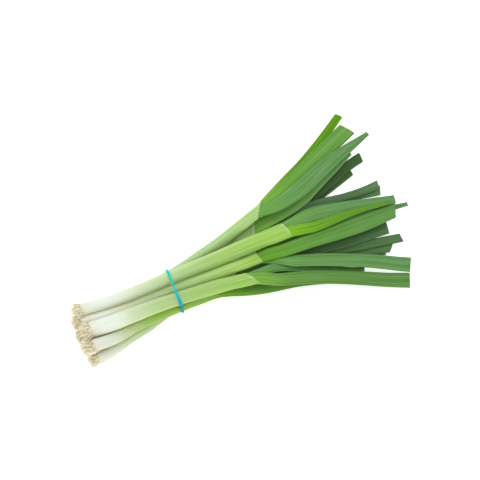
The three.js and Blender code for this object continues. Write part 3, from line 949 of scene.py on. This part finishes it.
@dataclass
class Stem:
    """One stem: a long white and green shank whose outer sheath wraps its leaves at the neck."""

    SOLID_SIDES = 12

    number: int
    finish: ShankFinish
    collar: float = 1.5 * MM
    collar_turn: float = 250.0
    collar_lean: float = 0.35
    lip: float = 4.5 * MM
    sides: int = 56
    step: float = 3.0 * MM
    wall: float = 0.22 * MM
    shoulder: float = 3.5 * MM
    flutes: Pair = (0.006, 0.003)
    hug: float = 0.16 * MM
    slack: float = 0.85
    above: float = 0.1 * MM
    hollow: float = 9.0 * MM
    swell_from: float = 34 * MM
    swell_to: float = 14 * MM
    run: Run = field(init=False)

    def __post_init__(self) -> None:
        """Reads the stem's sections."""
        self.run = stem_run(self.node)

    @property
    def node(self) -> str:
        """The node that this stem stands for."""
        return f"onion_{self.number}_shank"

    @property
    def root_end(self) -> float:
        """Where the white end starts along X."""
        return float(self.run.x[0])

    @property
    def mouth(self) -> float:
        """Where the leaves come out along X."""
        return float(self.run.x[-1])

    def swell(self, x: float, turn: float) -> float:
        """How far the skin stands from the plain oval, with long shallow flutes."""
        s = (x - self.root_end) / (self.mouth - self.root_end)
        first = math.sin(5.0 * turn + 2.1 * self.number + 3.0 * s)
        second = math.sin(11.0 * turn - 1.3 * self.number - 4.0 * s)
        return 1.0 + self.flutes[0] * first + self.flutes[1] * second

    def collar_ring(self, x: float, leaves: list[Leaf]) -> list[Vector]:
        """The sheath's ring near the mouth and beyond it, taut round the leaves that it holds.

        Args:
            x: The place along X.
            leaves: The stem's leaves.

        Returns:
            The ring's points.
        """
        centre = self.run.at(x).centre
        last = self.run.at(min(x, self.mouth))
        turns = around(self.sides)
        rays = np.array([last.point(t, self.swell(x, t)) - last.centre for t in turns])
        held = [self.slack * rays]
        for leaf in leaves:
            near = max(x, leaf.base)
            section, middle = leaf.run.at(near), self.run.at(near).centre
            held.append(np.array([section.point(t, leaf.grow_at(near, t)) - middle for t in turns]))
        wanted = taut(np.concatenate(held), np.arctan2(rays[:, 1], rays[:, 0])) + self.hug
        length = np.linalg.norm(rays, axis=1)
        share = ease(self.mouth - self.swell_from, self.mouth - self.swell_to, x)
        ring = centre + rays * ((length * (1.0 - share) + wanted * share) / length)[:, None]
        return [Vector((x, y, max(z, self.above))) for y, z in ring]

    def build(self, leaves: list[Leaf]) -> None:
        """Makes the stem.

        Args:
            leaves: Its leaves, which the sheath wraps.
        """
        skin = Skin(self.sides)
        x = self.root_end
        stop = self.mouth + self.collar + (3.0 + 10.0 * self.collar_lean) * MM
        while x < stop:
            depth = min((x - self.root_end) / self.shoulder, 1.0)
            if x > self.mouth - self.swell_from:
                ring = self.collar_ring(x, leaves)
            else:
                round_off = 0.80 + 0.20 * math.sqrt(max(0.0, 1.0 - (1.0 - depth) ** 2))
                ring = self.run.at(x).ring(
                    self.sides, x, lambda turn: self.swell(x, turn) * round_off, self.above
                )
            share = (x - self.root_end) / (self.mouth - self.root_end)
            skin.lay(ring, grain_of(self.sides, self.number, share))
            near_mouth = x > self.mouth - self.swell_to
            x += self.step * (0.2 if depth < 1.0 else 0.3 if near_mouth else 1.0)
        lean = math.radians(self.collar_turn)
        tilt = (-self.collar_lean * math.cos(lean), -self.collar_lean * math.sin(lean))
        point = Vector((self.mouth + self.collar, *self.run.at(self.mouth).centre))
        rim = Rim(np.array(point), np.array(Vector((1.0, *tilt)).normalized()))
        face = skin.cut(rim)
        skin.mark_lip(rim, self.lip)
        shift = Vector(-self.hollow * (1.0 - 0.6 * self.collar_lean) * self.run.heading)
        skin.open_end(face, self.wall, shift, 0.92 - 0.22 * self.collar_lean)
        skin.settle(f"stem_{self.number}", mixed(self.finish), Slot.SHANK, self.node)


@dataclass
class RootTuft:
    """The trimmed roots of one onion: a low plate and a dense mat of short bent threads."""

    number: int
    longer: float = 0.0
    threads: int = 150
    sides: int = 5
    rings: int = 6
    thick: Pair = (0.22 * MM, 0.4 * MM)
    bend: float = 0.14
    phase_most: float = 6.28
    dome: float = 1.2 * MM
    sunk: float = 1.0 * MM
    spare: float = 3.2 * MM
    thread_above: float = 0.1 * MM
    plate_above: float = 0.2 * MM
    tip_above: float = 0.4 * MM
    plate: float = 0.88
    plate_sides: int = 20
    profile_back: tuple[float, ...] = (1.2, 0.2, -0.8, -1.8, -2.6, -2.9)
    profile_wide: tuple[float, ...] = (0.72, 0.80, 0.78, 0.66, 0.42, 0.16)
    seed: int = 500
    finish: RootFinish = RootFinish()

    @property
    def node(self) -> str:
        """The node that this tuft stands for."""
        return f"onion_{self.number}_roots"

    def thread(
        self, skin: Skin, start: Vector, end: Vector, thick: float, shade: float, draw: Random
    ) -> None:
        """Grows one bent thread from the plate to its trimmed end.

        Args:
            skin: The mesh that it joins.
            start: Its foot, sunk in the plate.
            end: Its tip.
            thick: Its radius at the foot.
            shade: Its own place between cream and rust.
            draw: The seeded draws.
        """
        run = end - start
        side = run.cross(Vector((0.0, 0.0, 1.0))).normalized()
        up = side.cross(run).normalized()
        bend = [
            Vector((0.0, draw.gauss(0.0, self.bend), draw.gauss(0.0, self.bend))) * run.length
            for _ in range(2)
        ]
        phase = draw.uniform(0.0, self.phase_most)
        for ring in range(self.rings):
            t = ring / (self.rings - 1)
            centre = start + run * t + bend[0] * math.sin(math.pi * t)
            centre += bend[1] * math.sin(FULL_TURN * t) * 0.6
            radius = thick * (1.0 - 0.35 * t) * (1.0 + 0.15 * math.sin(5.0 * t + phase))
            centre.z = max(centre.z, radius + self.thread_above)
            turns = [turn + phase for turn in around(self.sides)]
            wide, high = side * radius, up * radius
            points = [centre + wide * math.cos(a) + high * math.sin(a) for a in turns]
            skin.lay(points, [Vector((shade, t, 0.0))] * self.sides)
        skin.close()

    def waviness(self, turn: float) -> float:
        """How far the plate's edge stands from the plain oval, as a share of it."""
        return 1.0 + 0.05 * math.sin(3.0 * turn + self.number)

    def add_plate(self, skin: Skin, stem: Stem) -> None:
        """Adds the low plate that the threads grow from.

        Args:
            skin: The mesh that it joins.
            stem: The stem that carries it.
        """
        section = stem.run.at(stem.root_end)
        skin.sides = self.plate_sides
        shades = [0.75 + 0.2 * math.sin(5.0 * turn) for turn in around(skin.sides)]
        for back, wide in zip(self.profile_back, self.profile_wide):
            x = stem.root_end + back * MM
            ring = section.ring(
                skin.sides, x, lambda turn: wide * self.waviness(turn), self.plate_above
            )
            skin.lay(ring, [Vector((shade, 0.0, 0.0)) for shade in shades])
        skin.close()

    def build(self, stem: Stem) -> None:
        """Makes the tuft on the stem's white end.

        Args:
            stem: The stem that carries it.
        """
        draw = Random(self.seed + self.number)
        low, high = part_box(self.node)
        skin = Skin(self.sides)
        face_x = stem.root_end
        section = stem.run.at(face_x)
        deep = face_x - low[0] + self.longer
        for _ in range(self.threads):
            angle = draw.uniform(0.0, FULL_TURN)
            out = math.sqrt(draw.uniform(0.0, 1.0))
            foot = section.point(angle, self.plate * out)
            start = Vector((face_x + self.sunk - self.dome * (1.0 - out * out), *foot))
            flare = 1.0 + 0.9 * draw.random() * out
            tip = section.point(angle + draw.gauss(0.0, 0.3), self.plate * out * flare)
            reach = deep * (0.42 + 0.58 * math.sqrt(draw.random()))
            end = Vector((face_x - reach * (1.0 - 0.25 * out * draw.random()), *tip))
            end.y = min(max(end.y, low[1] - self.spare), high[1] + self.spare)
            end.z = min(max(end.z, low[2] - self.spare, self.tip_above), high[2] + self.spare)
            thick = draw.uniform(*self.thick)
            self.thread(skin, start, end, thick, draw.random() ** 1.5, draw)
        self.add_plate(skin, stem)
        skin.settle(f"roots_{self.number}", mixed(self.finish), Slot.ROOT, self.node)


@dataclass
class RubberBand:
    """A flat band round the stems, narrow where it is pulled tight and pinched narrower once near
    the bottom, where a fold's shade is painted on.
    """

    node: str = "rubber_band"
    steps: int = 220
    sides: int = 12
    places: tuple[float, ...] = (0.0, 0.12, 0.22, 0.42, 0.6, 0.78, 1.0)
    widths: tuple[float, ...] = (2.3, 3.0, 3.7, 2.6, 1.9, 2.2, 2.6)
    slant: tuple[float, float, float] = (0.0, 0.84, 0.54)
    smoothing: int = 6
    fold_at: float = 0.15
    fold_wide: float = 0.02
    thick: float = 0.95 * MM
    finish: BandFinish = BandFinish()

    def loop(self) -> tuple[np.ndarray, np.ndarray, np.ndarray]:
        """Reads the band's outer line from its solid.

        Returns:
            The line's points, the middle of the loop and the loop's axis.
        """
        triangles, _ = solid_points(self.node)
        points = distinct(triangles)
        middle = points.mean(axis=0)
        axis = np.linalg.svd(points - middle, full_matrices=False)[2][2]
        axis = axis if axis[0] > 0 else -axis
        front = points[(points - middle) @ axis > 0]
        across = np.cross(axis, [0.0, 0.0, 1.0])
        across /= np.linalg.norm(across)
        up = np.cross(axis, across)
        flat = np.c_[(front - middle) @ across, (front - middle) @ up]
        line = np.array([middle + p[0] * across + p[1] * up for p in hull(flat)])
        return line, middle, axis

    def build(self) -> None:
        """Makes the band."""
        line, middle, axis = self.loop()
        closed = np.r_[line, line[:1]]
        walk = np.r_[0.0, np.cumsum(np.linalg.norm(np.diff(closed, axis=0), axis=1))]
        marks = np.linspace(0.0, walk[-1], self.steps, endpoint=False)
        path = np.array([[np.interp(m, walk, closed[:, k]) for k in range(3)] for m in marks])
        for _ in range(self.smoothing):
            path = (np.roll(path, 1, axis=0) + 2.0 * path + np.roll(path, -1, axis=0)) / 4.0
        path = path - axis * ((path - middle) @ axis)[:, None]
        skin = Skin(self.sides)
        rings, grains = [], []
        slant = path @ np.array(self.slant)
        for i, centre in enumerate(path):
            tangent = path[(i + 1) % self.steps] - path[i - 1]
            tangent /= np.linalg.norm(tangent)
            outward = np.cross(tangent, axis)
            outward *= 1.0 if outward @ (centre - middle) > 0 else -1.0
            share = (slant[i] - slant.min()) / (slant.max() - slant.min())
            width = float(np.interp(share, self.places, self.widths)) * MM
            off = (share - self.fold_at) / self.fold_wide
            fold = math.exp(-(off**2)) if centre[2] > middle[2] else 0.0
            width *= 1.0 - 0.22 * fold
            inner = centre - outward * self.thick * (0.5 - 0.3 * fold)
            # The pinch's weight rides in the grain, where the finish paints the fold's shade on it.
            grains.append([Vector((share, fold, 0.0))] * self.sides)
            ring = []
            for turn in around(self.sides):
                c, s = math.cos(turn), math.sin(turn)
                flat = math.copysign(abs(c) ** 0.45, c) * width / 2.0
                deep = math.copysign(abs(s) ** 0.6, s) * self.thick / 2.0
                ring.append(Vector(inner + axis * flat + outward * deep))
            rings.append(ring)
        skin.begin(rings[0], grains[0])
        first = skin.edges
        for ring, grain in zip(rings[1:], grains[1:]):
            skin.grow(ring, grain)
        bmesh.ops.bridge_loops(skin.bm, edges=first + skin.edges)
        skin.settle("turquoise_band", mixed(self.finish), Slot.RUBBER, self.node)


# ---- the bunch


@dataclass
class Onion:
    """One onion of the bunch: its stem, its roots and its leaves."""

    stem: Stem
    leaves: list[Leaf]
    longer: float = 0.0

    def build(self) -> None:
        """Makes all its pieces."""
        self.stem.build(self.leaves)
        for leaf in self.leaves:
            leaf.build(self.stem.run)
        RootTuft(self.stem.number, longer=self.longer).build(self.stem)


class Bunch:
    """The eight onions and the band that holds them."""

    CREASE_STEP = 37.0

    PALE = ShankFinish(
        "shank_pale", lower=(192, 207, 166), middle=(160, 190, 116), upper=(152, 188, 98)
    )
    # A darker copy of the pale finish for the lowest stem, as painted shade: its white and lower
    # colours are darker, and its underside carries darker painted crevice shade.
    UNDER_SHADED = ShankFinish(
        "shank_under_shaded",
        white=(206, 212, 198),
        lower=(186, 200, 162),
        middle=(160, 190, 116),
        upper=(148, 184, 92),
        low=((186, 188, 166), (178, 190, 148), (150, 174, 100), (124, 156, 60)),
    )
    GREYGREEN = ShankFinish(
        "shank_greygreen",
        lower=(206, 220, 190),
        middle=(168, 200, 140),
        upper=(164, 198, 130),
        neck=(158, 196, 106),
        lower_at=0.34,
        middle_at=0.52,
        rim=(158, 198, 106),
        rim_most=0.1,
    )
    # Lighter colours for the stem that lies low between two others. This is painted light that
    # offsets the shade it lies in.
    YELLOW = ShankFinish(
        "shank_yellow",
        white=(240, 243, 236),
        lower=(238, 244, 222),
        middle=(206, 232, 168),
        upper=(176, 214, 112),
        neck=(140, 190, 50),
        rim=(160, 204, 96),
        rim_most=0.15,
    )
    SPLIT = ShankFinish("shank_split", neck=(144, 192, 62))
    LEAFY = ShankFinish(
        "shank_leafy", middle=(160, 198, 100), upper=(160, 196, 108), neck=(168, 200, 122)
    )
    BRIGHT = ShankFinish(
        "shank_bright",
        white=(208, 214, 200),
        lower=(184, 198, 156),
        middle=(134, 176, 60),
        upper=(122, 166, 44),
        neck=(112, 160, 38),
        # A darker olive underside: painted crevice shade along the stem below it.
        low=((196, 184, 128), (168, 170, 84), (140, 166, 40), (124, 156, 30)),
        middle_at=0.44,
        rim_most=0.2,
    )

    LIME = LeafFinish(
        "leaf_lime", Slot.LIGHT, (166, 204, 96), (84, 144, 4), (92, 146, 22),
        bloom=(128, 180, 50), gloss=0.05,
    )
    LEMON = LeafFinish(
        "leaf_lemon", Slot.LIGHT, (128, 184, 20), (92, 148, 24), (80, 132, 32),
        bloom=(128, 176, 70),
    )
    FRESH = LeafFinish(
        "leaf_fresh", Slot.LIGHT, (124, 178, 45), (98, 156, 46), (98, 152, 56), bloom_most=0.15
    )
    MEADOW = LeafFinish(
        "leaf_meadow", Slot.MID, (96, 156, 20), (94, 146, 52), (90, 136, 70),
        bloom=(128, 174, 104),
    )
    SEA = LeafFinish(
        "leaf_sea", Slot.MID, (104, 160, 66), (94, 142, 68), (88, 132, 76), bloom_most=0.36
    )
    PLAIN = LeafFinish(
        "leaf_plain", Slot.MID, (122, 172, 44), (84, 130, 48), (84, 128, 62), body_at=0.25
    )
    MIST = LeafFinish(
        "leaf_mist", Slot.BLUE, (90, 140, 60), (88, 134, 68), (100, 136, 94), bloom_most=0.3
    )
    # Lighter than the leaf's own green. This is painted light that offsets the shadow of the leaf
    # above it.
    STEEL = LeafFinish(
        "leaf_steel", Slot.BLUE, (98, 150, 62), (90, 136, 74), (72, 112, 40), bloom_most=0.3
    )
    MOSS = LeafFinish(
        "leaf_moss", Slot.MID, (126, 176, 42), (84, 132, 34), (86, 132, 56), streak=(50, 90, 26)
    )
    # Lighter than the leaf's own green. This is painted light that offsets the shade it lies in
    # under the other leaves.
    FERN = LeafFinish(
        "leaf_fern", Slot.MID, (124, 184, 56), (116, 164, 74), (96, 134, 82),
        streak=(66, 110, 42),
    )
    # The three dark finishes below are for leaves that lie under the others. They carry their own
    # deeper green, darkened further with painted shade.
    SHADE = LeafFinish(
        "leaf_shade", Slot.DARK, (54, 88, 34), (50, 80, 30), (58, 92, 36), streak=(28, 50, 20)
    )
    SPRUCE = LeafFinish(
        "leaf_spruce", Slot.DARK, (60, 96, 36), (54, 84, 48), (90, 128, 80), streak=(34, 60, 32)
    )
    PINE = LeafFinish(
        "leaf_pine", Slot.DARK, (80, 126, 40), (62, 94, 50), (74, 110, 62), streak=(34, 60, 32)
    )

    def __init__(self) -> None:
        """Sets out the onions from the lowest stem to the highest."""
        self.onions = [
            Onion(Stem(1, self.UNDER_SHADED), self.leaves(1, [self.MOSS, self.PINE])),
            Onion(Stem(2, self.PALE), self.leaves(2, [self.PINE, self.PINE])),
            Onion(
                Stem(3, self.LEAFY, collar_turn=20.0, collar_lean=0.4),
                self.leaves(3, [self.SHADE] * 2 + [self.SPRUCE] * 2 + [self.FERN], fill=0.08),
            ),
            Onion(
                Stem(4, self.GREYGREEN, collar=2.0 * MM, collar_turn=0.0, collar_lean=0.7),
                self.leaves(4, [self.MIST, self.LIME, self.FRESH, self.SEA], fill=0.05),
            ),
            Onion(Stem(5, self.BRIGHT), self.leaves(5, [self.MOSS])),
            Onion(
                Stem(6, self.YELLOW),
                self.leaves(6, [self.MIST, self.SEA, self.MEADOW], fill=0.05),
            ),
            Onion(
                Stem(7, self.SPLIT, collar=0.5 * MM, collar_turn=180.0, collar_lean=0.2),
                self.leaves(7, [self.SEA, self.LEMON], fill=0.09, first=135.0),
                longer=2.0 * MM,
            ),
            Onion(
                Stem(8, self.PALE, collar=-1.5 * MM, collar_turn=180.0, collar_lean=0.5),
                self.leaves(8, [self.STEEL, self.PLAIN], fill=0.06),
            ),
        ]

    @staticmethod
    def leaves(
        stem: int, finishes: list[LeafFinish], fill: float = 0.02, first: float = 70.0
    ) -> list[Leaf]:
        """The leaves of one stem, numbered from 1.

        Args:
            stem: The stem's number.
            finishes: Each leaf's finish.
            fill: The share by which each is grown.
            first: Where the first leaf's crease lies, in degrees.

        Returns:
            The leaves.
        """
        creases = [first + Bunch.CREASE_STEP * i for i in range(len(finishes))]
        return [
            Leaf(stem, i + 1, finish, crease_at=at, fill=fill, seed=stem * 3 + i)
            for i, (finish, at) in enumerate(zip(finishes, creases))
        ]

    def build(self) -> None:
        """Makes every onion, then the band."""
        for onion in self.onions:
            onion.build()
        RubberBand().build()


class Studio:
    """A plain pale floor, soft light and the camera."""

    TARGET = Vector((12.56, 10.96, 20.0)) * MM
    AWAY = 9.0
    ACROSS = 0.480
    SENSOR = 36.0
    AZIMUTH = -26.0
    ELEVATION = 60.0
    FLOOR_HALF = 3.0
    FLOOR_DROP = 0.05 * MM
    SKY = 1.15
    LIGHTS = (("key", (-0.15, 0.9, 1.4), 1.1, 5.0), ("fill", (-0.6, -0.9, 1.5), 0.9, 3.0))

    def floor(self) -> None:
        """Lays the floor just under the bunch."""
        bm = bmesh.new()
        bmesh.ops.create_grid(bm, x_segments=2, y_segments=2, size=self.FLOOR_HALF)
        bmesh.ops.translate(bm, verts=bm.verts[:], vec=(0.0, 0.0, -self.FLOOR_DROP))
        made_of(bm, "studio_floor", FloorFinish().material())

    def light(self, name: str, place: Vector, size: float, watts: float) -> None:
        """Hangs one soft square light that faces the bunch.

        Args:
            name: The light's name.
            place: Where it hangs.
            size: How wide it is.
            watts: Its power.
        """
        lamp = bpy.data.lights.new(name, "AREA")
        lamp.shape = "SQUARE"
        lamp.size = size
        lamp.energy = watts
        holder = bpy.data.objects.new(name, lamp)
        holder.location = place
        holder.rotation_euler = (self.TARGET - place).to_track_quat("-Z", "Y").to_euler()
        bpy.context.scene.collection.objects.link(holder)

    def camera(self) -> None:
        """Sets the camera at the viewing angle, far off with a long lens."""
        turn, rise = math.radians(self.AZIMUTH), math.radians(self.ELEVATION)
        level = math.cos(rise)
        back = Vector((math.sin(turn) * level, -math.cos(turn) * level, math.sin(rise)))
        lens = bpy.data.cameras.new("camera")
        lens.sensor_width = self.SENSOR
        lens.lens = self.SENSOR * self.AWAY / self.ACROSS
        lens.clip_end = 100.0
        holder = bpy.data.objects.new("camera", lens)
        holder.location = self.TARGET + back * self.AWAY
        holder.rotation_euler = back.to_track_quat("Z", "Y").to_euler()
        bpy.context.scene.collection.objects.link(holder)
        bpy.context.scene.camera = holder

    def build(self) -> None:
        """Sets up the studio."""
        scene = bpy.context.scene
        world = bpy.data.worlds.new("studio")
        world.use_nodes = True
        sky = world.node_tree.nodes["Background"]
        sky.inputs["Color"].default_value = (1.0, 1.0, 1.0, 1.0)
        sky.inputs["Strength"].default_value = self.SKY
        scene.world = world
        scene.view_settings.view_transform = "Standard"
        self.floor()
        for name, place, size, watts in self.LIGHTS:
            self.light(name, Vector(place), size, watts)
        self.camera()


def main() -> None:
    """Builds the studio and the bunch, and notes the sizes."""
    logging.basicConfig(level=logging.INFO, format="%(name)s: %(message)s")
    Studio().build()
    Bunch().build()


if __name__ == "__main__":
    main()
